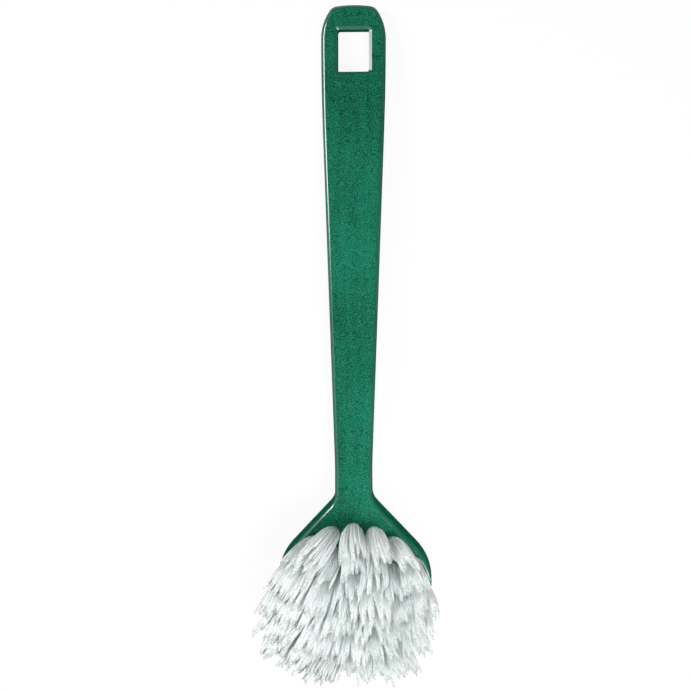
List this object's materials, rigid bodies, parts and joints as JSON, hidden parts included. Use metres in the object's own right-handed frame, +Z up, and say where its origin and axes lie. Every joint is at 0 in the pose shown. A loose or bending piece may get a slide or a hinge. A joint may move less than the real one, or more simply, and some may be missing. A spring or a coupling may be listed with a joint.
{
  "type": "dish brush",
  "caption": "Dish brush with a flat tapering handle, a rectangular hanging hole and a round head bent back from the neck, filled with rings of splayed bristle tufts.",
  "frame": {"origin": "middle of the footprint on the floor, with the brush lying on its back", "axes": "+Y along the handle from the head to the hanging hole, +Z up out of the bristles, +X across"},
  "size_m": [0.0626, 0.2595, 0.0469],
  "materials": {
    "green_plastic": "moulded polypropylene, fine grain on the flat front, polished edges",
    "bristle": "white, slightly translucent drawn filament",
    "anchor_wire": "flat stainless wire"
  },
  "bodies": {
    "root": {"handle_and_head": "green_plastic", "tuft_anchors": "anchor_wire", "tuft_centre": "bristle", "tuft_inner_1": "bristle", "tuft_inner_2": "bristle", "tuft_inner_3": "bristle", "tuft_inner_4": "bristle", "tuft_inner_5": "bristle", "tuft_inner_6": "bristle", "tuft_middle_01": "bristle", "tuft_middle_02": "bristle", "tuft_middle_03": "bristle", "tuft_middle_04": "bristle", "tuft_middle_05": "bristle", "tuft_middle_06": "bristle", "tuft_middle_07": "bristle", "tuft_middle_08": "bristle", "tuft_middle_09": "bristle", "tuft_middle_10": "bristle", "tuft_middle_11": "bristle", "tuft_middle_12": "bristle", "tuft_outer_01": "bristle", "tuft_outer_02": "bristle", "tuft_outer_03": "bristle", "tuft_outer_04": "bristle", "tuft_outer_05": "bristle", "tuft_outer_06": "bristle", "tuft_outer_07": "bristle", "tuft_outer_08": "bristle", "tuft_outer_09": "bristle", "tuft_outer_10": "bristle", "tuft_outer_11": "bristle", "tuft_outer_12": "bristle", "tuft_outer_13": "bristle", "tuft_outer_14": "bristle", "tuft_outer_15": "bristle", "tuft_outer_16": "bristle", "tuft_outer_17": "bristle", "tuft_outer_18": "bristle"}
  },
  "joints": []
}
